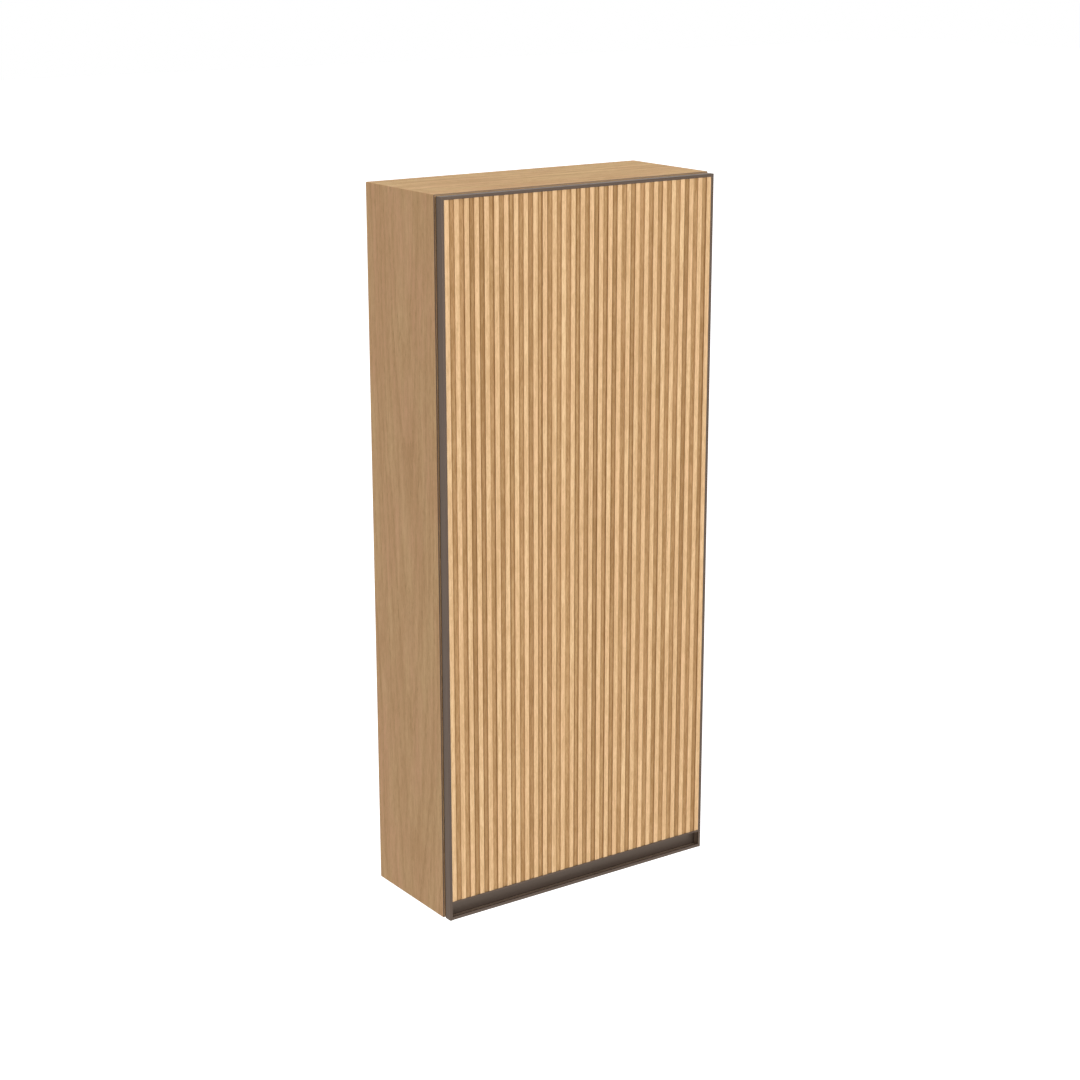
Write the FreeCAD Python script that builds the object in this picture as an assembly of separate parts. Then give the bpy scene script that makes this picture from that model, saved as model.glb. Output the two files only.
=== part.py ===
import FreeCAD, Part
import math
import os
from FreeCAD import Vector

# Shallow wall cabinet in oak, with one overlay door of upright slats in a slim metal frame.
# X runs to the right as seen from the front, Y towards the wall, Z up, in millimetres.
# The origin is the middle of the bottom edge of the back, where the cabinet meets the wall.
# The door hangs on the right, and the grip channel runs along its bottom edge.

# Carcass
cabinet_width = 400.0
cabinet_height = 896.0
cabinet_depth = 150.0
panel_thickness = 16.0
carcass_edge_radius = 0.8
spline_thickness = 3.0
spline_width = 12.0
spline_from_inner_corner = 8.0
spline_setback = 8.0

# Back panel and the two rails behind it that take the wall screws
back_thickness = 6.0
back_groove_depth = 6.0
rail_thickness = 12.0
rail_height = 64.0
wall_hole_radius = 3.25
wall_hole_spacing = 256.0
dowel_radius = 3.0
dowel_length = 30.0
dowel_in_side = 10.0
dowel_spacing = 32.0

# Shelves and the pins that carry them
shelf_count = 3
shelf_thickness = 16.0
shelf_side_play = 1.0
shelf_back_play = 2.0
shelf_front_setback = 8.0
shelf_edge_radius = 1.0
hole_pitch = 32.0
shelf_step_in_holes = 7
spare_holes = 1
pin_radius = 2.5
pin_in_panel = 9.0
pin_hole_depth = 10.0
pin_front_setback = 37.0
pin_column_spacing = 64.0
pin_collar_radius = 4.5
pin_collar_thickness = 1.5
pin_tongue_length = 9.0
pin_tongue_width = 8.0
pin_tongue_rise = 3.5

# Door and its frame
door_gap = 2.0
door_reveal = 1.5
door_bottom_reveal = 0.5
frame_wall = 1.8
lip_width = 3.8
flange_width = 12.0
flange_thickness = 1.5
frame_back_radius = 1.5
frame_front_radius = 0.6
lip_edge_radius = 0.4
key_thickness = 1.7
key_depth = 5.2
key_leg = 30.0

# Door panel: a core board with slats on its face
core_thickness = 8.8
core_edge_play = 0.2
rib_count = 29
rib_width = 6.4
rib_depth = 1.2
rib_recess = 0.5
rib_edge_radius = 0.3

# Grip channel at the bottom of the door
grip_height = 23.6
grip_floor = 1.8
grip_lip_height = 4.2
grip_lip_thickness = 2.0
grip_ledge = 1.2
ledge_lip_height = 1.0

# Hinges: an arm on the cabinet side, a bearing block in the door, and a pin through both
hinge_inset = 100.0
pivot_inset = 4.8
pivot_depth = 4.0
hinge_pin_radius = 1.5
eye_radius = 2.4
arm_height = 12.0
arm_thickness = 3.0
arm_corner_radius = 2.0
arm_seat_length = 42.0
arm_screw_from_end = 10.0
block_length = 32.0
block_height = 44.0
block_depth = 6.6
block_flange = 14.0
block_screw_spacing = 28.0
slot_play = 0.35
slot_end_play = 4.0
plate_thickness = 4.5
plate_length = 52.0
plate_height = 44.0
plate_setback = 12.0
plate_corner_radius = 4.0
plate_screw_setback = 37.0
plate_screw_spacing = 32.0

# Magnetic catch, its strike plate and the bumpers
catch_from_bottom = 90.0
catch_thickness = 12.0
catch_depth = 15.0
catch_height = 34.0
catch_ear = 10.0
catch_ear_thickness = 4.0
catch_proud = 0.5
catch_edge_radius = 1.0
magnet_thickness = 7.0
magnet_depth = 12.0
magnet_height = 26.0
strike_thickness = 1.2
strike_width = 13.0
strike_height = 52.0
strike_screw_spacing = 42.0
strike_play = 0.3
bumper_radius = 4.0
bumper_thickness = 1.7
bumper_inset = 7.0
bumper_from_end = 60.0

# Screws: radius and height of the head, socket, radius and length of the shank
wood_screw = {"head": 3.8, "rise": 1.8, "socket": 1.4, "shank": 2.0, "length": 14.0}
arm_screw = {"head": 3.6, "rise": 1.8, "socket": 1.5, "shank": 2.0, "length": 7.2}
block_screw = {"head": 3.2, "rise": 1.5, "socket": 1.2, "shank": 1.5, "length": 6.6}
strike_screw = {"head": 2.6, "rise": 1.0, "socket": 1.0, "shank": 1.2, "length": 6.2}
socket_depth_share = 0.6

# Clearances
fit_play = 0.1
running_play = 0.05
overrun = 1.0

# Faces that several pieces share
half_width = cabinet_width / 2
inner_x = half_width - panel_thickness
inner_top = cabinet_height - panel_thickness
back_face = -rail_thickness - back_thickness
front_face = -cabinet_depth
door_left = -half_width + door_reveal
door_right = half_width - door_reveal
door_bottom = door_bottom_reveal
door_top = cabinet_height - door_reveal
door_back = front_face - door_gap
core_back = door_back - flange_thickness
core_front = core_back - core_thickness
rib_front = core_front - rib_depth
door_front = rib_front - rib_recess
grip_top = door_bottom + grip_height
grip_wall_top = grip_top + flange_width
pivot_x = door_right - pivot_inset
pivot_y = door_back - pivot_depth
arm_outer = inner_x - plate_thickness
arm_inner = arm_outer - arm_thickness
plate_front = front_face + plate_setback
hinge_heights = {"lower": door_bottom + hinge_inset, "upper": door_top - hinge_inset}
catch_x = -inner_x + catch_thickness / 2
X, Y, Z = Vector(1, 0, 0), Vector(0, 1, 0), Vector(0, 0, 1)
BOTH_SIDES = (-1, 1)


def box(low, high):
    size = [b - a for a, b in zip(low, high)]
    return Part.makeBox(size[0], size[1], size[2], Vector(*low))


def cylinder(radius, start, way):
    return Part.makeCylinder(radius, way.Length, start, way)


def prism(points, way):
    outline = Part.makePolygon(points + points[:1])
    return Part.Face(outline).extrude(way)


def joined(shapes):
    return shapes[0].fuse(shapes[1:]).removeSplitter()


def mirrored(shape):
    return shape.mirror(Vector(0, 0, 0), X)


def rounded(shape, radius, way, chosen):
    """Round the straight edges that run along one axis and pass the given test of their middle."""
    edges = []
    for edge in shape.Edges:
        ends = edge.Vertexes
        run = ends[-1].Point - ends[0].Point
        if run.Length > radius and run.cross(way).Length < radius and chosen(edge.CenterOfMass):
            edges.append(edge)
    return shape.makeFillet(radius, edges)


def near(value, place):
    return abs(value - place) < fit_play


def screw(seat, way, size):
    """A pan-head screw: its head stands on the seat and its shank runs the given way."""
    head = cylinder(size["head"], seat, way * -size["rise"])
    across = way.cross(Z) if way.cross(Z).Length else X
    corner = seat - way * size["rise"] + across * size["socket"]
    turns = [FreeCAD.Rotation(way, step * 60) for step in range(6)]
    centre = seat - way * size["rise"]
    socket = prism([centre + turn.multVec(corner - centre) for turn in turns],
                   way * (size["rise"] * socket_depth_share))
    return joined([head, cylinder(size["shank"], seat, way * size["length"])]).cut(socket)


def screw_hole(seat, way, size):
    depth = size["length"] + fit_play
    return cylinder(size["shank"] + fit_play, seat - way * overrun, way * (depth + overrun))


# Carcass

def carcass_block():
    """The outer form of the carcass, with every edge eased but those at the wall."""
    block = box((-half_width, front_face, 0), (half_width, 0, cabinet_height))
    edges = [edge for edge in block.Edges if not near(edge.CenterOfMass.y, 0)]
    return block.makeFillet(carcass_edge_radius, edges)


def side_blank():
    points = [(-half_width, 0), (-inner_x, panel_thickness),
              (-inner_x, inner_top), (-half_width, cabinet_height)]
    return prism([Vector(x, 0, z) for x, z in points], Y * -cabinet_depth).common(carcass_block())


def flat_blank():
    points = [(-half_width, 0), (half_width, 0), (inner_x, panel_thickness), (-inner_x, panel_thickness)]
    return prism([Vector(x, 0, z) for x, z in points], Y * -cabinet_depth).common(carcass_block())


def back_box(play):
    reach_x = inner_x + back_groove_depth + play
    low = (-reach_x, back_face - play, panel_thickness - back_groove_depth - play)
    return box(low, (reach_x, -rail_thickness + play, inner_top + back_groove_depth + play))


def corner_splines(play):
    """A loose tongue across each mitre, set nearer to the inner corner than to the outer one."""
    start = back_face - spline_setback + play
    end = front_face + spline_setback - play
    half_t = spline_thickness / 2 + play
    half_w = spline_width / 2 + play
    shift = spline_from_inner_corner / math.sqrt(2)
    splines = []
    for side in BOTH_SIDES:
        for level, rise in ((inner_top, 1), (panel_thickness, -1)):
            tongue = box((-half_w, end, -half_t), (half_w, start, half_t))
            tongue.rotate(Vector(0, 0, 0), Y, 45 * side * rise)
            tongue.translate(Vector(side * (inner_x + shift), 0, level + rise * shift))
            splines.append(tongue)
    return splines


def rail_levels():
    return {"upper": inner_top - rail_height / 2, "lower": panel_thickness + rail_height / 2}


def wall_holes():
    return [cylinder(wall_hole_radius, Vector(side * wall_hole_spacing / 2, overrun, level),
                     Y * (back_face - 2 * overrun))
            for side in BOTH_SIDES for level in rail_levels().values()]


def rail_dowels(play):
    dowels = []
    for level in rail_levels().values():
        for side in BOTH_SIDES:
            for step in BOTH_SIDES:
                start = Vector(side * (inner_x + dowel_in_side + play), -rail_thickness / 2,
                               level + step * dowel_spacing / 2)
                dowels.append(cylinder(dowel_radius + play, start, X * -side * (dowel_length + 2 * play)))
    return dowels


def hang_rail(name):
    middle = rail_levels()[name]
    low = (-inner_x, -rail_thickness, middle - rail_height / 2)
    blank = box(low, (inner_x, 0, middle + rail_height / 2))
    return blank.cut(wall_holes() + rail_dowels(fit_play))


def shelf_underside(index):
    middle = cabinet_height / 2 - shelf_thickness / 2
    return middle + (index - (shelf_count - 1) / 2) * shelf_step_in_holes * hole_pitch


def pin_places():
    """Depth and height of every shelf pin's axis."""
    first = front_face + pin_front_setback
    return [(column, shelf_underside(index) - pin_tongue_rise)
            for index in range(shelf_count) for column in (first, first + pin_column_spacing)]


def shelf_pin_holes(side):
    holes = []
    for column, level in pin_places():
        for step in range(-spare_holes, spare_holes + 1):
            start = Vector(side * (inner_x - overrun), column, level + step * hole_pitch)
            holes.append(cylinder(pin_radius + running_play, start, X * side * (pin_hole_depth + overrun)))
    return holes


def shelf_pins():
    pins = []
    for side in BOTH_SIDES:
        for column, level in pin_places():
            seat = Vector(side * inner_x, column, level)
            shank = cylinder(pin_radius, seat + X * side * pin_in_panel,
                             X * -side * (pin_in_panel + pin_tongue_length))
            collar = cylinder(pin_collar_radius, seat, X * -side * pin_collar_thickness)
            collar = collar.cut(box((-half_width, front_face, level + pin_tongue_rise),
                                    (half_width, 0, level + pin_collar_radius + overrun)))
            ends = sorted((seat.x, seat.x - side * pin_tongue_length))
            tongue = box((ends[0], column - pin_tongue_width / 2, level),
                         (ends[1], column + pin_tongue_width / 2, level + pin_tongue_rise))
            pins.append(joined([shank, collar, tongue]))
    return pins


def shelf(index):
    low_z = shelf_underside(index)
    front = front_face + shelf_front_setback
    reach = inner_x - shelf_side_play
    board = box((-reach, front, low_z), (reach, back_face - shelf_back_play, low_z + shelf_thickness))
    return rounded(board, shelf_edge_radius, X, lambda middle: near(middle.y, front))


def side_panel(side):
    blank = side_blank() if side < 0 else mirrored(side_blank())
    cuts = [back_box(fit_play)] + corner_splines(fit_play) + rail_dowels(fit_play) + shelf_pin_holes(side)
    fixings = catch_screw_seats() if side < 0 else plate_screw_seats()
    return blank.cut(cuts + [screw_hole(seat, X * side, wood_screw) for seat in fixings])


def flat_panel(on_top):
    blank = flat_blank()
    if on_top:
        blank = blank.mirror(Vector(0, 0, cabinet_height / 2), Z)
    return blank.cut([back_box(fit_play)] + corner_splines(fit_play))


# Door frame

def stile_section():
    wall = door_left + frame_wall
    lip = door_left + lip_width
    flange = door_left + flange_width
    points = [(door_left, door_back), (flange, door_back), (flange, core_back), (wall, core_back),
              (wall, core_front), (lip, core_front), (lip, door_front), (door_left, door_front)]
    return [Vector(x, y, door_bottom) for x, y in points]


def mitre_wedge(above):
    """The corner of the frame on one side of the mitre between the left stile and the top rail."""
    reach = flange_width + overrun
    points = [(door_left, door_top), (door_left + reach, door_top - reach)]
    points.append((door_left + reach, door_top) if above else (door_left, door_top - reach))
    start = door_front - overrun
    return prism([Vector(x, start, z) for x, z in points], Y * (door_back + overrun - start))


def left_stile():
    bar = prism(stile_section(), Z * (door_top - door_bottom))
    bar = rounded(bar, frame_back_radius, Z, lambda at: near(at.x, door_left) and near(at.y, door_back))
    bar = rounded(bar, frame_front_radius, Z, lambda at: near(at.x, door_left) and near(at.y, door_front))
    bar = rounded(bar, lip_edge_radius, Z,
                  lambda at: near(at.x, door_left + lip_width) and near(at.y, door_front))
    for_grip = box((door_left + frame_wall, core_back, door_bottom - overrun),
                   (door_left + flange_width + overrun, door_back + overrun, grip_wall_top))
    return bar.cut([mitre_wedge(True), for_grip])


def right_stile():
    return mirrored(left_stile()).cut([block_pocket(level) for level in hinge_heights.values()])


def top_rail():
    wall = door_top - frame_wall
    lip = door_top - lip_width
    flange = door_top - flange_width
    points = [(door_back, door_top), (door_back, flange), (core_back, flange), (core_back, wall),
              (core_front, wall), (core_front, lip), (door_front, lip), (door_front, door_top)]
    bar = prism([Vector(door_left, y, z) for y, z in points], X * (door_right - door_left))
    bar = rounded(bar, frame_back_radius, X, lambda at: near(at.z, door_top) and near(at.y, door_back))
    bar = rounded(bar, frame_front_radius, X, lambda at: near(at.z, door_top) and near(at.y, door_front))
    bar = rounded(bar, lip_edge_radius, X,
                  lambda at: near(at.z, door_top - lip_width) and near(at.y, door_front))
    return bar.cut([mitre_wedge(False), mirrored(mitre_wedge(False))])


def grip_rail():
    """Floor, turned-up finger lip, back wall and the lipped ledge under the panel, in one profile."""
    lip_back = door_front + grip_lip_thickness
    lip_top = door_bottom + grip_lip_height
    floor_top = door_bottom + grip_floor
    ledge_bottom = grip_top - grip_ledge
    ledge_lip_top = grip_top + ledge_lip_height
    points = [(door_back, door_bottom), (door_front, door_bottom), (door_front, lip_top),
              (lip_back, lip_top), (lip_back, floor_top), (core_back, floor_top),
              (core_back, ledge_bottom), (door_front, ledge_bottom), (door_front, ledge_lip_top),
              (rib_front, ledge_lip_top), (rib_front, grip_top), (core_back, grip_top),
              (core_back, grip_wall_top), (door_back, grip_wall_top)]
    start = door_left + frame_wall
    bar = prism([Vector(start, y, z) for y, z in points], X * -2 * start)
    bar = rounded(bar, frame_front_radius, X, lambda at: near(at.z, door_bottom) and near(at.y, door_front))
    bar = rounded(bar, lip_edge_radius, X, lambda at: near(at.z, lip_top))
    lip_space = box((start - overrun, door_front - overrun, door_bottom - overrun),
                    (door_left + lip_width, core_front, ledge_lip_top + overrun))
    return bar.cut([lip_space, mirrored(lip_space)])


def corner_keys(play):
    """Angle keys in the frame's channel: two at the mitres, two on the ends of the grip rail's ledge."""
    back = core_back - fit_play + play
    front = core_back - fit_play - key_depth - play
    outer = door_left + frame_wall + fit_play - play
    inner = door_left + frame_wall + fit_play + key_thickness + play
    top = door_top - frame_wall - fit_play + play
    base = grip_top
    keys = []
    for start, end in ((top - key_thickness - 2 * play, top), (base, base + key_thickness + play)):
        legs = sorted((top, top - key_leg - play)) if end == top else (base, base + key_leg + play)
        upright = box((outer, front, legs[0]), (inner, back, legs[1]))
        flat = box((outer, front, start), (outer + key_leg + 2 * play, back, end))
        keys.append(joined([upright, flat]))
    return keys + [mirrored(key) for key in keys]


# Door panel

def core_board():
    reach = door_right - frame_wall - core_edge_play
    board = box((-reach, core_front, grip_top), (reach, core_back, door_top - frame_wall - core_edge_play))
    cuts = corner_keys(fit_play) + [block_pocket(level) for level in hinge_heights.values()]
    cuts += [screw_hole(seat, -Y, block_screw) for seat in block_screw_seats()]
    cuts += [screw_hole(seat, -Y, strike_screw) for seat in strike_screw_seats()]
    return board.cut(cuts)


def rib_slats():
    opening = door_right - lip_width
    pitch = (2 * opening - rib_width) / (rib_count - 1)
    slat = box((-opening, rib_front, grip_top), (-opening + rib_width, core_front, door_top - lip_width))
    slat = rounded(slat, rib_edge_radius, Z, lambda at: near(at.y, rib_front))
    return [slat.translated(X * pitch * index) for index in range(rib_count)]


# Hinges

def block_pocket(level):
    outer = door_right - frame_wall
    return box((outer - block_length - 2 * fit_play, door_back - block_depth - fit_play,
                level - block_height / 2 - fit_play),
               (outer, door_back + overrun, level + block_height / 2 + fit_play))


def hinge_block(level):
    outer = door_right - frame_wall - fit_play
    inner = outer - block_length
    low = level - block_height / 2
    high = level + block_height / 2
    body = box((inner, door_back - block_depth, low), (outer, door_back, high))
    flange = box((inner - block_flange, core_back, low), (inner, door_back, high))
    slot_half = arm_height / 2 + slot_play
    slot = box((arm_inner - slot_end_play, door_back - block_depth - overrun, level - slot_half),
               (outer + overrun, door_back + overrun, level + slot_half))
    bore = cylinder(hinge_pin_radius + running_play, Vector(pivot_x, pivot_y, low - overrun),
                    Z * (block_height + 2 * overrun))
    holes = [screw_hole(seat, -Y, block_screw) for seat in block_screw_seats()]
    return joined([body, flange]).cut([slot, bore] + holes)


def block_screw_seats():
    x = door_right - frame_wall - fit_play - block_length - block_flange / 2
    return [Vector(x, door_back, level + side * block_screw_spacing / 2)
            for level in hinge_heights.values() for side in BOTH_SIDES]


def hinge_pins():
    return [cylinder(hinge_pin_radius, Vector(pivot_x, pivot_y, level - block_height / 2), Z * block_height)
            for level in hinge_heights.values()]


def hinge_arm(level):
    low = level - arm_height / 2
    high = level + arm_height / 2
    half = arm_thickness / 2
    eye = cylinder(eye_radius, Vector(pivot_x, pivot_y, low), Z * arm_height)
    reach = box((arm_inner, pivot_y - half, low), (pivot_x, pivot_y + half, high))
    seat = box((arm_inner, pivot_y - half, low), (arm_outer, plate_front + arm_seat_length, high))
    crank = rounded(joined([reach, seat]), arm_corner_radius, Z,
                    lambda at: near(at.x, arm_inner) and near(at.y, pivot_y - half))
    bore = cylinder(hinge_pin_radius + running_play, Vector(pivot_x, pivot_y, low - overrun),
                    Z * (arm_height + 2 * overrun))
    holes = [screw_hole(place, X, arm_screw) for place in arm_screw_seats()]
    return joined([crank, eye]).cut([bore] + holes)


def arm_screw_seats():
    y = plate_front + arm_seat_length - arm_screw_from_end
    return [Vector(arm_inner, y, level) for level in hinge_heights.values()]


def plate_screw_seats():
    y = front_face + plate_screw_setback
    return [Vector(arm_outer, y, level + side * plate_screw_spacing / 2)
            for level in hinge_heights.values() for side in BOTH_SIDES]


def hinge_plate(level):
    plate = box((arm_outer, plate_front, level - plate_height / 2),
                (inner_x, plate_front + plate_length, level + plate_height / 2))
    plate = rounded(plate, plate_corner_radius, X, lambda at: True)
    holes = [screw_hole(seat, X, wood_screw) for seat in plate_screw_seats()]
    return plate.cut(holes + [screw_hole(seat, X, arm_screw) for seat in arm_screw_seats()])


# Catch, strike and bumpers

def catch_front():
    return core_back + strike_thickness + strike_play


def catch_housing():
    front = front_face - catch_proud
    back = front + catch_depth
    top = -inner_x + catch_thickness
    body = box((-inner_x, front, catch_from_bottom - catch_height / 2),
               (top, back, catch_from_bottom + catch_height / 2))
    body = rounded(body, catch_edge_radius, Z, lambda at: near(at.x, top))
    half = catch_height / 2 + catch_ear
    ears = box((-inner_x, front, catch_from_bottom - half),
               (-inner_x + catch_ear_thickness, back, catch_from_bottom + half))
    holes = [screw_hole(seat, -X, wood_screw) for seat in catch_screw_seats()]
    return joined([body, ears]).cut([magnet_box(fit_play)] + holes)


def magnet_box(play):
    half_t = magnet_thickness / 2 + play
    half_h = magnet_height / 2 + play
    front = catch_front() - play
    return box((catch_x - half_t, front, catch_from_bottom - half_h),
               (catch_x + half_t, front + magnet_depth + 2 * play, catch_from_bottom + half_h))


def catch_screw_seats():
    reach = (catch_height + catch_ear) / 2
    x = -inner_x + catch_ear_thickness
    y = front_face - catch_proud + catch_depth / 2
    return [Vector(x, y, catch_from_bottom + side * reach) for side in BOTH_SIDES]


def strike_plate():
    half_w = strike_width / 2
    half_h = strike_height / 2
    plate = box((catch_x - half_w, core_back, catch_from_bottom - half_h),
                (catch_x + half_w, core_back + strike_thickness, catch_from_bottom + half_h))
    return plate.cut([screw_hole(seat, -Y, strike_screw) for seat in strike_screw_seats()])


def strike_screw_seats():
    y = core_back + strike_thickness
    return [Vector(catch_x, y, catch_from_bottom + side * strike_screw_spacing / 2) for side in BOTH_SIDES]


def door_bumpers():
    x = door_left + bumper_inset
    return [cylinder(bumper_radius, Vector(x, door_back, z), Y * bumper_thickness)
            for z in (door_bottom + bumper_from_end, door_top - bumper_from_end)]


# Pieces

pieces = {
    "left_side_panel": side_panel(-1),
    "right_side_panel": side_panel(1),
    "top_panel": flat_panel(True),
    "bottom_panel": flat_panel(False),
    "corner_splines": corner_splines(0),
    "back_panel": back_box(0).cut(wall_holes()),
    "upper_hang_rail": hang_rail("upper"),
    "lower_hang_rail": hang_rail("lower"),
    "rail_dowels": rail_dowels(0),
    "lower_shelf": shelf(0),
    "middle_shelf": shelf(1),
    "upper_shelf": shelf(2),
    "shelf_pins": shelf_pins(),
    "upper_hinge_plate": hinge_plate(hinge_heights["upper"]),
    "lower_hinge_plate": hinge_plate(hinge_heights["lower"]),
    "hinge_plate_screws": [screw(seat, X, wood_screw) for seat in plate_screw_seats()],
    "upper_hinge_arm": hinge_arm(hinge_heights["upper"]),
    "lower_hinge_arm": hinge_arm(hinge_heights["lower"]),
    "hinge_arm_screws": [screw(seat, X, arm_screw) for seat in arm_screw_seats()],
    "catch_housing": catch_housing(),
    "catch_magnet": magnet_box(0),
    "catch_screws": [screw(seat, -X, wood_screw) for seat in catch_screw_seats()],
    "left_stile": left_stile(),
    "right_stile": right_stile(),
    "top_rail": top_rail(),
    "grip_rail": grip_rail(),
    "corner_keys": corner_keys(0),
    "core_board": core_board(),
    "rib_slats": rib_slats(),
    "upper_hinge_block": hinge_block(hinge_heights["upper"]),
    "lower_hinge_block": hinge_block(hinge_heights["lower"]),
    "hinge_pins": hinge_pins(),
    "hinge_block_screws": [screw(seat, -Y, block_screw) for seat in block_screw_seats()],
    "strike_plate": strike_plate(),
    "strike_screws": [screw(seat, -Y, strike_screw) for seat in strike_screw_seats()],
    "door_bumpers": door_bumpers(),
}

os.makedirs("parts", exist_ok=True)
for name, piece in pieces.items():
    shape = Part.makeCompound(piece) if isinstance(piece, list) else piece
    shape.exportStep("parts/" + name + ".step")
    print(name, len(shape.Solids), shape.isValid(), round(shape.Volume), shape.BoundBox)
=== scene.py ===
import math

import bpy
from mathutils import Color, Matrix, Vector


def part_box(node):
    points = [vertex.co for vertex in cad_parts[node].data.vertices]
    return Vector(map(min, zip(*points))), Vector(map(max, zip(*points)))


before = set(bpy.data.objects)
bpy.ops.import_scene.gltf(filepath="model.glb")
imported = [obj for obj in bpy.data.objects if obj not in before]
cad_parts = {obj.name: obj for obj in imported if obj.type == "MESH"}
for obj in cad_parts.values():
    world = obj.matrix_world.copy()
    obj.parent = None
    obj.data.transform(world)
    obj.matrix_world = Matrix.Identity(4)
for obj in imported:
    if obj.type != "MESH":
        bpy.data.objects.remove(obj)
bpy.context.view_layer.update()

# Slatted oak wall cabinet with a bronze-framed door, seen from the front left and a little above.
# Lengths are metres in the part's own frame, and colours are sRGB bytes.
FULL_BYTE = 255
RIGHT_ANGLE_DEG = 90

# Camera: its place, its turn to the right of straight ahead, its tilt down, its roll to the left and its
# focal length
CAMERA_PLACE = (-1.5495, -2.2882, 1.2104)
CAMERA_YAW_DEG = 34.990
CAMERA_PITCH_DEG = 15.947
CAMERA_ROLL_DEG = -0.042
SENSOR_WIDTH_MM = 36.0
FOCAL_LENGTH_MM = 73.95

# Light: the even light from all round, the white behind the object, and far soft lamps by their degrees
# left of the object's front, degrees up, spread in degrees and strength
AMBIENT_LEVEL = 0.35
BACKGROUND_LEVEL = 1.0
LAMPS = {
    "front_lamp": (1, 12, 40, 2.44),
    "top_lamp": (0, 90, 70, 0.69),
    "back_lamp": (188, 5, 40, 0.55),
}

# Floor: how far it lies below the object, half its width, its grey and its glow to the camera
FLOOR_DROP = 1.3
FLOOR_HALF_WIDTH = 30.0
FLOOR_GREY = 0.8
FLOOR_GLOW = 0.70

# The slats on the door: how many, and the width of one
SLAT_COUNT = 29
SLAT_WIDTH = 0.0064

# Oak by its light, dark, warm and pore tones, and by the shares of rings, fibres, streaks, bands and
# flecks in the dark tone
OAK_TONES = (236, 199, 148), (213, 168, 122), (236, 187, 145), (166, 122, 80)
OAK_SHARES = (0.26, 0.22, 0.16, 0.34, 0.40)
TOP_TONES = (237, 203, 147), (203, 160, 110), (237, 192, 144), (166, 124, 79)
TOP_SHARES = (0.30, 0.20, 0.22, 0.30, 0.40)
SLAT_TONES = (232, 198, 153), (206, 168, 124), (229, 189, 146), (164, 122, 82)
SLAT_SHARES = (0.20, 0.20, 0.20, 0.20, 0.65)
# The core's tones are darker than the slats' as painted shade on the groove floors between them
CORE_SHADED_TONES = (201, 164, 118), (161, 124, 81), (198, 158, 114), (130, 93, 59)
CORE_SHARES = (0.10, 0.16, 0.12, 0.20, 0.55)

# Where each piece lay in the tree: the heart's place across the grain, and the lean of the grain in
# metres sideways for each metre along. The slats lie apart by up to the offsets.
CUTS = {
    "left_side_panel": ((-0.270, -0.080), 0.06),
    "right_side_panel": ((0.27, -0.09), -0.06),
    "top_panel": ((-0.07, 0.94), 0.02),
    "bottom_panel": ((-0.09, -0.05), 0.02),
    "back_panel": ((0.05, 0.06), 0.03),
    "shelves": ((-0.08, 0.90), 0.02),
    "rib_slats": ((0.9, 0.3), 0.03),
    "core_board": ((0.05, -0.10), 0.04),
}
SLAT_OFFSETS = (0.4, 0.1, 3.0)

# Growth rings: their width, how far they wander and wobble, the shares of a ring over which its early
# wood rises and fades, and the least and most strength of a year
RING_WIDTH = 0.0085
RING_WANDER = 0.030
RING_WOBBLE = 0.004
EARLY_RISE_SHARES = (0.0, 0.1)
EARLY_FADE_SHARES = (0.15, 0.7)
YEAR_SHARES = (0.35, 1.0)

# Widths and lengths of the figure, across and along the grain
WANDER_GRAIN = (0.075, 0.45)
WOBBLE_GRAIN = (0.012, 0.16)
PORE_GRAIN = (0.00045, 0.009)
FIBRE_GRAIN = (0.0010, 0.10)
STREAK_GRAIN = (0.0032, 0.26)
BAND_GRAIN = (0.014, 0.12)
LONG_BAND_GRAIN = (0.014, 0.40)
FLECK_GRAIN = (0.004, 0.026)
MOTTLE_GRAIN = (0.0016, 0.025)
CLOUD_GRAIN = (0.035, 0.12)

# Noise: its usual fineness and the span that most of it lies in, and what differs for fibres, pores and
# flecks
NOISE_DETAIL = 2.0
NOISE_ROUGHNESS = 0.5
NOISE_SPAN = (0.3, 0.7)
FIBRE_DETAIL = 3.0
PORE_DETAIL = 1.0
PORE_SPAN = (0.56, 0.70)
FLECK_DETAIL = 3.0
FLECK_ROUGHNESS = 0.9
FLECK_SPAN = (0.38, 0.62)

# Pores: their strength in late and in early wood, and the most share of their tone
PORE_YEAR_SHARES = (0.35, 1.0)
PORE_SHARE = 0.5

# Lacquer: its roughness on the wood and in the pores, its gloss, how deep the figure stands in it, and
# the fibres' share of that
LACQUER_ROUGHNESS = (0.58, 0.75)
LACQUER_SPECULAR = 0.06
WOOD_BUMP = 0.00012
FIBRE_HEIGHT_SHARE = 0.4

# Painted shade in the grooves, a darker tone where the slats shade the board, with a darkening that also
# differs at random from groove to groove: its tone, how deep it goes, where it starts to fade and ends
# from the foot on either side, its least and most share along a foot, the most share over a whole groove,
# and its mottling
GROOVE_TONE_AND_SHADE = (126, 91, 52)
SHADED_FRONT_DEPTH = 0.0004
LEFT_FOOT_SHADE = (0.0015, 0.0034)
RIGHT_FOOT_SHADE = (0.0007, 0.0022)
FOOT_SHADE_SHARES = (0.20, 1.0)
GROOVE_SHARE = 0.42
MOTTLE_SHARES = (0.7, 1.0)

# Painted shade of the door on the front edges of the upright and of the level carcass panels, darker on
# the uprights beside the door than on the level panels: its tones, its depth, and its share behind the
# door and in the strip round it
EDGE_SHADE_TONES = {
    "X": ((104, 84, 69), (112, 91, 75)),
    "Z": ((136, 114, 93), (144, 121, 99)),
}
EDGE_SHADE_DEPTH = 0.0005
EDGE_SHADE_SHARES = (0.3, 1.0)

# Chipboard at the panels' back edges, between the veneers
CHIP_LIGHT = (205, 178, 138)
CHIP_DARK = (150, 116, 78)
CHIP_SIZE = 0.0022
VENEER_THICKNESS = 0.0007
RAW_EDGE_DEPTH = 0.0004

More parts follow.
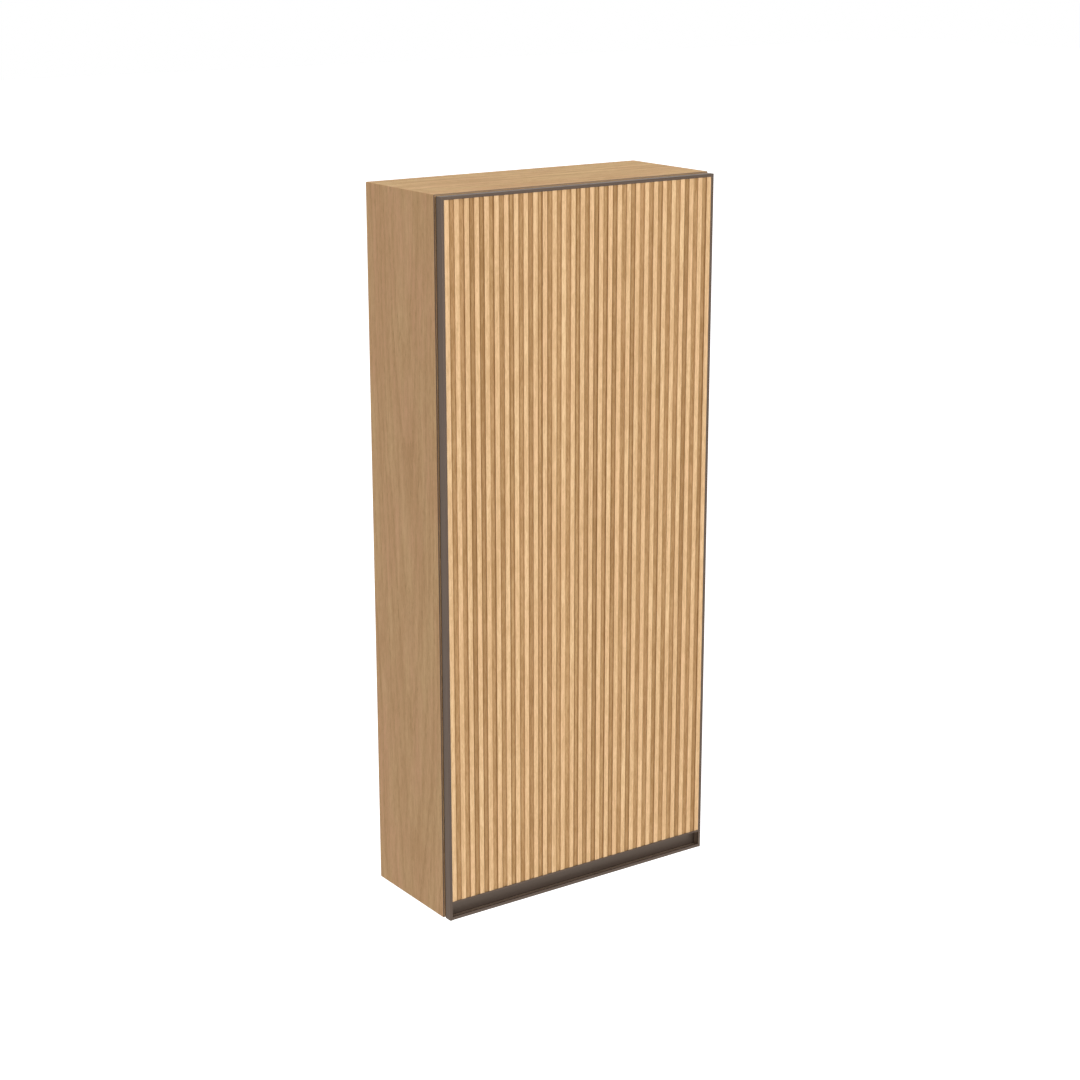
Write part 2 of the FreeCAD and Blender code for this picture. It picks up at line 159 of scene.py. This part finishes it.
# Bare birch, with the shares of clouds and fibres in its dark tone
BIRCH_LIGHT = (226, 202, 162)
BIRCH_DARK = (205, 174, 128)
BIRCH_SHARES = (0.5, 0.5)
BIRCH_ROUGHNESS = (0.60, 0.72)
BIRCH_SPECULAR = 0.3

# Bronze: its drawing lines, its stains and how they change its roughness
BRONZE = (87, 75, 67)
BRONZE_GLANCE = (255, 247, 240)
BRONZE_ROUGHNESS = (0.30, 0.38)
BRUSH_GRAIN = (0.00035, 0.05)
BRUSH_DETAIL = 3.0
BRUSH_SHARE = 0.15
BRUSH_ROUGHNESS = 0.10
STAIN_WIDTH = 0.02
STAIN_LENGTH = 0.14

# Wear on the arrises of the bronze: its width, how closely the rounded and the flat surface face alike
# where it starts and ends, and its least and most share
BRONZE_WORN = (136, 121, 110)
EDGE_WEAR_WIDTH = 0.0007
EDGE_WEAR_SPAN = (0.8, 0.99)
EDGE_WEAR_SAMPLES = 4
EDGE_WEAR_SHARES = (0.1, 0.4)

# The grip channel, matt where fingers have dulled it, with its colour painted: its darker tone on the back
# as painted shade, its lighter tone on the floor and ends as painted light, how squarely a floor or an end
# faces its axis, how far behind the door's front it starts, and the metal's share of sheen outside and
# inside
BRONZE_SHADED_INSIDE = (78, 66, 57)
BRONZE_PAINTED_LIGHT = (172, 151, 132)
LIT_FACING_SPAN = (0.5, 0.9)
MATT_FROM = 0.0012
MATT_TO = 0.0030
FACE_TOLERANCE = 0.0001
SHEEN_SHARES = (1.0, 0.35)

# Plated and moulded small pieces, with the fine specks of their surface
METAL_BUMP = 0.00002
SPECK_SIZE = 0.0007
PLATED_METALLIC = 0.85
PLATED_SPECK_ROUGHNESS = 0.15
NICKEL = (196, 192, 184)
NICKEL_DULL = (160, 156, 149)
NICKEL_ROUGHNESS = 0.34
ZINC = (198, 201, 203)
ZINC_YELLOW = (196, 190, 168)
ZINC_ROUGHNESS = 0.28
MOULDED_SPECK_ROUGHNESS = 0.12
PLASTIC = (122, 94, 68)
PLASTIC_DARK = (106, 80, 57)
PLASTIC_ROUGHNESS = 0.45
FERRITE = (62, 60, 59)
FERRITE_PALE = (84, 82, 80)
FERRITE_ROUGHNESS = 0.4
FERRITE_METALLIC = 0.6
SILICONE = (228, 228, 222)
SILICONE_DIM = (206, 206, 198)
SILICONE_ROUGHNESS = 0.25
SILICONE_TRANSMISSION = 0.5

# Sockets of the mix node when it mixes colours
MIX_FACTOR = 0
MIX_FIRST = 6
MIX_SECOND = 7
MIX_RESULT = 2


def linear(colour):
    """An sRGB colour in bytes as the linear values that a shader takes."""
    return [*Color([byte / FULL_BYTE for byte in colour]).from_srgb_to_scene_linear(), 1.0]


class Graph:
    """A node tree, with a short call for each kind of node that the materials use."""

    def __init__(self, tree):
        self.tree = tree
        tree.nodes.clear()

    def feed(self, socket, value):
        """Link an output to a socket, or set a constant on it."""
        if isinstance(value, bpy.types.NodeSocket):
            self.tree.links.new(value, socket)
        else:
            socket.default_value = value

    def add(self, kind, inputs, **settings):
        node = self.tree.nodes.new("ShaderNode" + kind)
        for name, value in settings.items():
            setattr(node, name, value)
        for key, value in inputs.items():
            self.feed(node.inputs[key], value)
        return node

    def maths(self, operation, *values):
        return self.add("Math", dict(enumerate(values)), operation=operation).outputs[0]

    def product(self, first, *others):
        """Several values multiplied, which is one only where all of them are."""
        result = first
        for value in others:
            result = self.maths("MULTIPLY", result, value)
        return result

    def total(self, values, shares):
        """The sum of several outputs, each by its share."""
        result = 0.0
        for value, share in zip(values, shares):
            result = self.maths("MULTIPLY_ADD", value, share, result)
        return result

    def vector(self, operation, *values):
        return self.add("VectorMath", dict(enumerate(values)), operation=operation).outputs["Vector"]

    def parts(self, vector):
        return self.add("SeparateXYZ", {0: vector}).outputs

    def chance(self, number):
        """A fixed random value and colour for each whole number."""
        return self.add("TexWhiteNoise", {"W": number}, noise_dimensions="1D").outputs

    def blend(self, share, first, second):
        """Two colours, given in bytes or as outputs, mixed by a share."""
        first, second = [linear(c) if isinstance(c, tuple) else c for c in (first, second)]
        inputs = {MIX_FACTOR: share, MIX_FIRST: first, MIX_SECOND: second}
        return self.add("Mix", inputs, data_type="RGBA").outputs[MIX_RESULT]

    def ramp(self, value, low, high, to_low=0.0, to_high=1.0):
        """A value taken smoothly from one range to another, and held at its ends."""
        limits = {"From Min": low, "From Max": high, "To Min": to_low, "To Max": to_high}
        node = self.add("MapRange", {"Value": value, **limits}, interpolation_type="SMOOTHSTEP")
        return node.outputs["Result"]

    def fade(self, value, low, high):
        """One up to a value, fading to zero at another."""
        return self.ramp(value, low, high, 1.0, 0.0)

    def between(self, share, at_zero, at_one):
        """A number that goes from one value to another as a share goes from zero to one."""
        return self.ramp(share, 0.0, 1.0, at_zero, at_one)

    def place(self, along="Z"):
        """The point on the piece in its own frame, turned so that the grain runs along Z."""
        here = self.add("TexCoord", {}).outputs["Object"]
        if along == "Z":
            return here
        x, y, z = self.parts(here)
        return self.add("CombineXYZ", {0: y, 1: z, 2: x}).outputs[0]

    def facing(self):
        """The way that the surface faces, in the piece's own frame."""
        normal = self.add("NewGeometry", {}).outputs["Normal"]
        turned = self.add("VectorTransform", {0: normal}, vector_type="NORMAL", convert_to="OBJECT")
        return turned.outputs[0]

    def noise(self, place, grain, detail=NOISE_DETAIL, roughness=NOISE_ROUGHNESS):
        """Noise with patches as wide and as long as the grain's two sizes."""
        width, length = grain
        stretched = self.vector("MULTIPLY", place, (1 / width, 1 / width, 1 / length))
        octaves = {"Scale": 1.0, "Detail": detail, "Roughness": roughness}
        return self.add("TexNoise", {"Vector": stretched, **octaves}).outputs[0]

    def spread(self, noise, to_low=0.0, to_high=1.0):
        """The usual span of a noise, taken to another range."""
        return self.ramp(noise, *NOISE_SPAN, to_low, to_high)

    def bump(self, height, distance):
        return self.add("Bump", {"Height": height, "Distance": distance}).outputs[0]

    def surface(self, **inputs):
        """The surface shader, with its sockets named with underscores for spaces."""
        named = {name.replace("_", " "): value for name, value in inputs.items()}
        shader = self.add("BsdfPrincipled", named)
        self.add("OutputMaterial", {"Surface": shader.outputs[0]})


def new_graph(name):
    material = bpy.data.materials.new(name)
    material.use_nodes = True
    return material, Graph(material.node_tree)


# Wood

def growth_rings(graph, place, cut):
    """Early wood of the growth rings: one at its porous start, fading to zero in the late wood."""
    (heart_u, heart_v), lean = cut
    u, v, along = graph.parts(place)
    u = graph.maths("SUBTRACT", u, graph.maths("MULTIPLY_ADD", along, lean, heart_u))
    v = graph.maths("SUBTRACT", v, heart_v)
    radius = graph.maths("SQRT", graph.maths("MULTIPLY_ADD", u, u, graph.product(v, v)))
    for grain, reach in (WANDER_GRAIN, RING_WANDER), (WOBBLE_GRAIN, RING_WOBBLE):
        radius = graph.maths("MULTIPLY_ADD", graph.noise(place, grain), reach, radius)
    count = graph.maths("DIVIDE", radius, RING_WIDTH)
    phase = graph.maths("FRACT", count)
    rise = graph.ramp(phase, *EARLY_RISE_SHARES)
    fade = graph.fade(phase, *EARLY_FADE_SHARES)
    year = graph.chance(graph.maths("FLOOR", count))["Value"]
    return graph.product(rise, fade, graph.between(year, *YEAR_SHARES))


def timber(graph, place, cut, tones, figure_shares, band_grain=BAND_GRAIN):
    """Colour, pores and fibre of a sawn oak surface."""
    light, dark, warm, pore_tone = tones
    early = growth_rings(graph, place, cut)
    fibre = graph.noise(place, FIBRE_GRAIN, FIBRE_DETAIL)
    streak = graph.spread(graph.noise(place, STREAK_GRAIN))
    band = graph.spread(graph.noise(place, band_grain))
    fleck = graph.ramp(graph.noise(place, FLECK_GRAIN, FLECK_DETAIL, FLECK_ROUGHNESS), *FLECK_SPAN)
    pores = graph.ramp(graph.noise(place, PORE_GRAIN, PORE_DETAIL), *PORE_SPAN)
    pores = graph.product(pores, graph.between(early, *PORE_YEAR_SHARES))
    depth = graph.total((early, graph.spread(fibre), streak, band, fleck), figure_shares)
    colour = graph.blend(graph.spread(graph.noise(place, CLOUD_GRAIN)), light, warm)
    colour = graph.blend(depth, colour, dark)
    colour = graph.blend(graph.product(pores, PORE_SHARE), colour, pore_tone)
    return colour, pores, fibre


def lacquered(graph, colour, pores, fibre):
    """A thin matt lacquer that leaves the pores open."""
    height = graph.maths("SUBTRACT", graph.product(fibre, FIBRE_HEIGHT_SHARE), pores)
    graph.surface(Base_Color=colour, Roughness=graph.between(pores, *LACQUER_ROUGHNESS),
                  Normal=graph.bump(height, WOOD_BUMP), Specular_IOR_Level=LACQUER_SPECULAR)


def panel_oak(name, along, cut):
    """Oak veneer on an inner board."""
    material, graph = new_graph(name)
    lacquered(graph, *timber(graph, graph.place(along), cut, OAK_TONES, OAK_SHARES))
    return material


def raw_edge(graph, node, thin_axis):
    """One where the panel's back edge shows its chipboard core between the two veneers."""
    low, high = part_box(node)
    parts = graph.parts(graph.place())
    at = "XYZ".index(thin_axis)
    return graph.product(
        graph.maths("GREATER_THAN", parts["Y"], high.y - RAW_EDGE_DEPTH),
        graph.maths("GREATER_THAN", parts[at], low[at] + VENEER_THICKNESS),
        graph.maths("LESS_THAN", parts[at], high[at] - VENEER_THICKNESS),
    )


def chipboard(graph):
    """The tones of chips pressed together."""
    cells = graph.add("TexVoronoi", {"Vector": graph.place(), "Scale": 1 / CHIP_SIZE})
    grey = graph.add("SeparateColor", {0: cells.outputs["Color"]}).outputs[0]
    return graph.blend(grey, CHIP_DARK, CHIP_LIGHT)


def near_front(graph, node, depth):
    """One within a depth behind the node's front face."""
    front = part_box(node)[0].y
    return graph.maths("LESS_THAN", graph.parts(graph.place())["Y"], front + depth)


def beyond_door(graph):
    """One outside the outline of the closed door, as seen from the front."""
    low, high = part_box("left_stile")[0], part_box("right_stile")[1]
    x, _, z = graph.parts(graph.place())
    beyond = 0.0
    for at, first, last in (x, low.x, high.x), (z, low.z, high.z):
        beyond = graph.maths("MAXIMUM", beyond, graph.maths("LESS_THAN", at, first))
        beyond = graph.maths("MAXIMUM", beyond, graph.maths("GREATER_THAN", at, last))
    return beyond


def carcass_oak(name, node, along, thin_axis, tones=OAK_TONES, figure_shares=OAK_SHARES):
    """Oak veneer on a carcass panel, with the door's painted shade on its front edge and a bare core at
    its back edge.
    """
    material, graph = new_graph(name)
    colour, pores, fibre = timber(graph, graph.place(along), CUTS[node], tones, figure_shares)
    colour = graph.blend(raw_edge(graph, node, thin_axis), colour, chipboard(graph))
    # Painted shade: the front edge is darkened where the door shades it, most in the strip round the door
    edge_shade = graph.blend(graph.spread(fibre), *EDGE_SHADE_TONES[thin_axis])
    edge_shade_share = graph.between(beyond_door(graph), *EDGE_SHADE_SHARES)
    edge_shade_share = graph.product(edge_shade_share, near_front(graph, node, EDGE_SHADE_DEPTH))
    lacquered(graph, graph.blend(edge_shade_share, colour, edge_shade), pores, fibre)
    return material


def slat_row(graph):
    """The number of the slat at or left of a point, the distance from its left edge, and the pitch."""
    low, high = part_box("rib_slats")
    pitch = (high.x - low.x - SLAT_WIDTH) / (SLAT_COUNT - 1)
    along_row = graph.maths("SUBTRACT", graph.parts(graph.place())["X"], low.x)
    index = graph.maths("FLOOR", graph.maths("DIVIDE", along_row, pitch))
    return index, graph.maths("MULTIPLY_ADD", index, -pitch, along_row), pitch


def slat_oak(name):
    """Solid oak slats, each sawn from another place in the timber."""
    material, graph = new_graph(name)
    index, _, _ = slat_row(graph)
    place = graph.vector("MULTIPLY_ADD", graph.chance(index)["Color"], SLAT_OFFSETS, graph.place())
    lacquered(graph, *timber(graph, place, CUTS["rib_slats"], SLAT_TONES, SLAT_SHARES, LONG_BAND_GRAIN))
    return material


def groove_tone_and_shade(graph):
    """Painted shade along the feet of the slats, where they shade the board, and a darkening that differs
    at random from groove to groove, in another measure in each groove.
    """
    index, across, pitch = slat_row(graph)
    left_measure, right_measure, groove_measure = graph.parts(graph.chance(index)["Color"])
    from_left = graph.maths("SUBTRACT", across, SLAT_WIDTH)
    from_right = graph.maths("SUBTRACT", pitch, across)
    stain = graph.product(groove_measure, GROOVE_SHARE)
    feet = (from_left, LEFT_FOOT_SHADE, left_measure), (from_right, RIGHT_FOOT_SHADE, right_measure)
    # Painted shade: the board is darkened along each slat's foot, where the slats shade it
    for distance, reach, measure in feet:
        foot = graph.product(graph.fade(distance, *reach), graph.between(measure, *FOOT_SHADE_SHARES))
        stain = graph.maths("MAXIMUM", stain, foot)
    return graph.product(stain, graph.spread(graph.noise(graph.place(), MOTTLE_GRAIN), *MOTTLE_SHARES))


def core_oak(name, node):
    """The door's board: darker tones and painted shade in front, between the slats, and plain oak at the
    back.
    """
    material, graph = new_graph(name)
    place = graph.place()
    plain, pores, fibre = timber(graph, place, CUTS[node], OAK_TONES, OAK_SHARES)
    # Painted shade: the core's darker tones stand for the shade on the groove floors
    dark, _, _ = timber(graph, place, CUTS[node], CORE_SHADED_TONES, CORE_SHARES, LONG_BAND_GRAIN)
    dark = graph.blend(groove_tone_and_shade(graph), dark, GROOVE_TONE_AND_SHADE)
    lacquered(graph, graph.blend(near_front(graph, node, SHADED_FRONT_DEPTH), plain, dark), pores, fibre)
    return material


def birch(name, along):
    """Bare birch, sanded."""
    material, graph = new_graph(name)
    place = graph.place(along)
    fibre = graph.noise(place, FIBRE_GRAIN, FIBRE_DETAIL)
    mixed = graph.total((graph.noise(place, CLOUD_GRAIN), fibre), BIRCH_SHARES)
    colour = graph.blend(graph.spread(mixed), BIRCH_LIGHT, BIRCH_DARK)
    graph.surface(Base_Color=colour, Roughness=graph.spread(fibre, *BIRCH_ROUGHNESS),
                  Normal=graph.bump(fibre, WOOD_BUMP), Specular_IOR_Level=BIRCH_SPECULAR)
    return material


# Metals, plastic and rubber

def worn_edges(graph):
    """One along the arrises, where the finish is rubbed, and zero on the flats."""
    soft = graph.add("Bevel", {"Radius": EDGE_WEAR_WIDTH}, samples=EDGE_WEAR_SAMPLES).outputs[0]
    flat = graph.add("NewGeometry", {}).outputs["Normal"]
    match = graph.add("VectorMath", {0: soft, 1: flat}, operation="DOT_PRODUCT").outputs["Value"]
    return graph.fade(match, *EDGE_WEAR_SPAN)


def inside_grip(graph):
    """One on the walls of the grip channel, where fingers have dulled the finish and the colour is painted
    shade and light.
    """
    low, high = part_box("grip_rail")
    x, y, z = graph.parts(graph.place())
    return graph.product(
        graph.ramp(y, low.y + MATT_FROM, low.y + MATT_TO),
        graph.maths("LESS_THAN", y, high.y - FACE_TOLERANCE),
        graph.maths("LESS_THAN", graph.maths("ABSOLUTE", x), high.x + FACE_TOLERANCE),
        graph.maths("LESS_THAN", z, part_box("core_board")[0].z),
        graph.maths("GREATER_THAN", z, low.z + FACE_TOLERANCE),
    )


def grip_painted_shade_and_light(graph):
    """The tone inside the grip: darker on its back as painted shade, lighter on its floor and ends as
    painted light.
    """
    facing = graph.parts(graph.facing())
    # Painted light: the floor and ends, which lie in the channel's shade, are lightened
    lit_floor_or_end = graph.maths("MAXIMUM", facing["Z"], graph.maths("ABSOLUTE", facing["X"]))
    return graph.blend(graph.ramp(lit_floor_or_end, *LIT_FACING_SPAN), BRONZE_SHADED_INSIDE, BRONZE_PAINTED_LIGHT)


def bronze(name, along):
    """Satin anodised extrusion, with drawing lines along it, lighter arrises, a dulled grip and painted
    shade and light in it.
    """
    material, graph = new_graph(name)
    place = graph.place(along)
    brush = graph.noise(place, BRUSH_GRAIN, BRUSH_DETAIL)
    stain = graph.noise(place, (STAIN_WIDTH, STAIN_LENGTH))
    inside = inside_grip(graph)
    wear = graph.product(worn_edges(graph), graph.spread(stain, *EDGE_WEAR_SHARES))
    colour = graph.blend(graph.spread(brush, 0.0, BRUSH_SHARE), BRONZE, BRONZE_WORN)
    colour = graph.blend(wear, colour, BRONZE_WORN)
    # Painted shade and light inside the grip channel
    colour = graph.blend(inside, colour, grip_painted_shade_and_light(graph))
    rough = graph.maths("MULTIPLY_ADD", brush, BRUSH_ROUGHNESS, graph.spread(stain, *BRONZE_ROUGHNESS))
    graph.surface(Base_Color=colour, Metallic=graph.between(inside, *SHEEN_SHARES), Roughness=rough,
                  Normal=graph.bump(brush, METAL_BUMP), Specular_Tint=linear(BRONZE_GLANCE))
    return material


def plated(name, bright, dull, rough):
    """Plated metal with a slow change of tone and a fine tumbled surface."""
    material, graph = new_graph(name)
    place = graph.place()
    speck = graph.noise(place, (SPECK_SIZE, SPECK_SIZE))
    stain = graph.noise(place, (STAIN_WIDTH, STAIN_WIDTH))
    graph.surface(Base_Color=graph.blend(graph.spread(stain), bright, dull), Metallic=PLATED_METALLIC,
                  Roughness=graph.maths("MULTIPLY_ADD", speck, PLATED_SPECK_ROUGHNESS, rough),
                  Normal=graph.bump(speck, METAL_BUMP))
    return material


def moulded(name, main, other, rough, metallic=0.0, transmission=0.0):
    """A moulded piece with a fine grain from its mould."""
    material, graph = new_graph(name)
    speck = graph.noise(graph.place(), (SPECK_SIZE, SPECK_SIZE))
    graph.surface(Base_Color=graph.blend(graph.spread(speck), main, other), Metallic=metallic,
                  Roughness=graph.maths("MULTIPLY_ADD", speck, MOULDED_SPECK_ROUGHNESS, rough),
                  Transmission_Weight=transmission, Normal=graph.bump(speck, METAL_BUMP))
    return material


def finishes():
    """The finish of every node, by name."""
    shelf_oak = panel_oak("shelf_oak", "X", CUTS["shelves"])
    birch_level = birch("birch_level", "X")
    upright = bronze("bronze_upright", "Z")
    level = bronze("bronze_level", "X")
    nickel = plated("nickel", NICKEL, NICKEL_DULL, NICKEL_ROUGHNESS)
    zinc = plated("zinc", ZINC, ZINC_YELLOW, ZINC_ROUGHNESS)
    plastic = moulded("catch_plastic", PLASTIC, PLASTIC_DARK, PLASTIC_ROUGHNESS)
    ferrite = moulded("ferrite", FERRITE, FERRITE_PALE, FERRITE_ROUGHNESS, metallic=FERRITE_METALLIC)
    silicone = moulded("silicone", SILICONE, SILICONE_DIM, SILICONE_ROUGHNESS,
                       transmission=SILICONE_TRANSMISSION)
    return {
        "left_side_panel": carcass_oak("left_side_oak", "left_side_panel", "Z", "X"),
        "right_side_panel": carcass_oak("right_side_oak", "right_side_panel", "Z", "X"),
        "top_panel": carcass_oak("top_oak", "top_panel", "X", "Z", TOP_TONES, TOP_SHARES),
        "bottom_panel": carcass_oak("bottom_oak", "bottom_panel", "X", "Z"),
        "back_panel": panel_oak("back_oak", "Z", CUTS["back_panel"]),
        "lower_shelf": shelf_oak,
        "middle_shelf": shelf_oak,
        "upper_shelf": shelf_oak,
        "rib_slats": slat_oak("slat_oak"),
        "core_board": core_oak("core_oak", "core_board"),
        "upper_hang_rail": birch_level,
        "lower_hang_rail": birch_level,
        "rail_dowels": birch_level,
        "corner_splines": birch_level,
        "left_stile": upright,
        "right_stile": upright,
        "top_rail": level,
        "grip_rail": level,
        "corner_keys": zinc,
        "upper_hinge_plate": nickel,
        "lower_hinge_plate": nickel,
        "upper_hinge_arm": nickel,
        "lower_hinge_arm": nickel,
        "upper_hinge_block": nickel,
        "lower_hinge_block": nickel,
        "shelf_pins": nickel,
        "hinge_pins": zinc,
        "hinge_plate_screws": zinc,
        "hinge_arm_screws": zinc,
        "hinge_block_screws": zinc,
        "catch_screws": zinc,
        "strike_screws": zinc,
        "strike_plate": zinc,
        "catch_housing": plastic,
        "catch_magnet": ferrite,
        "door_bumpers": silicone,
    }


def dress(piece, material):
    for slot in piece.material_slots:
        slot.link = "OBJECT"
        slot.material = material


# Stage, light and camera

def seen_directly(graph):
    """One for what the camera sees, straight or in metal and glass, and zero for light on the object."""
    rays = graph.add("LightPath", {}).outputs
    glossy = graph.maths("MAXIMUM", rays["Is Glossy Ray"], rays["Is Transmission Ray"])
    return graph.maths("MAXIMUM", rays["Is Camera Ray"], glossy)


def make_floor():
    """A pale floor far below the hanging cabinet, which looks white to the camera."""
    corners = [(-1, -1), (1, -1), (1, 1), (-1, 1)]
    mesh = bpy.data.meshes.new("floor")
    mesh.from_pydata([(x * FLOOR_HALF_WIDTH, y * FLOOR_HALF_WIDTH, -FLOOR_DROP) for x, y in corners],
                     [], [(0, 1, 2, 3)])
    floor = bpy.data.objects.new("floor", mesh)
    bpy.context.scene.collection.objects.link(floor)
    material, graph = new_graph("pale_floor")
    diffuse = graph.add("BsdfDiffuse", {"Color": (FLOOR_GREY, FLOOR_GREY, FLOOR_GREY, 1.0)})
    glow = graph.add("Emission", {"Strength": graph.product(seen_directly(graph), FLOOR_GLOW)})
    both = graph.add("AddShader", {0: diffuse.outputs[0], 1: glow.outputs[0]})
    graph.add("OutputMaterial", {"Surface": both.outputs[0]})
    mesh.materials.append(material)


def make_world():
    """Even light from all round, and a white background."""
    world = bpy.data.worlds.new("studio")
    world.use_nodes = True
    graph = Graph(world.node_tree)
    strength = graph.between(seen_directly(graph), AMBIENT_LEVEL, BACKGROUND_LEVEL)
    white = graph.add("Background", {"Color": (1.0, 1.0, 1.0, 1.0), "Strength": strength})
    graph.add("OutputWorld", {"Surface": white.outputs[0]})
    bpy.context.scene.world = world


def make_lamp(name, left, up, spread, strength):
    lamp = bpy.data.lights.new(name, "SUN")
    lamp.angle = math.radians(spread)
    lamp.energy = strength
    holder = bpy.data.objects.new(name, lamp)
    holder.rotation_euler = (math.radians(RIGHT_ANGLE_DEG - up), 0, -math.radians(left))
    bpy.context.scene.collection.objects.link(holder)


def make_camera():
    camera = bpy.data.cameras.new("camera")
    camera.sensor_width = SENSOR_WIDTH_MM
    camera.lens = FOCAL_LENGTH_MM
    holder = bpy.data.objects.new("camera", camera)
    holder.location = CAMERA_PLACE
    tilt = math.radians(RIGHT_ANGLE_DEG - CAMERA_PITCH_DEG)
    holder.rotation_euler = (tilt, 0, -math.radians(CAMERA_YAW_DEG))
    holder.rotation_euler.rotate_axis("Z", math.radians(CAMERA_ROLL_DEG))
    bpy.context.scene.collection.objects.link(holder)
    bpy.context.scene.camera = holder


for name, material in finishes().items():
    dress(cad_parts[name], material)
make_floor()
make_world()
for name, settings in LAMPS.items():
    make_lamp(name, *settings)
make_camera()
bpy.context.scene.view_settings.view_transform = "Standard"
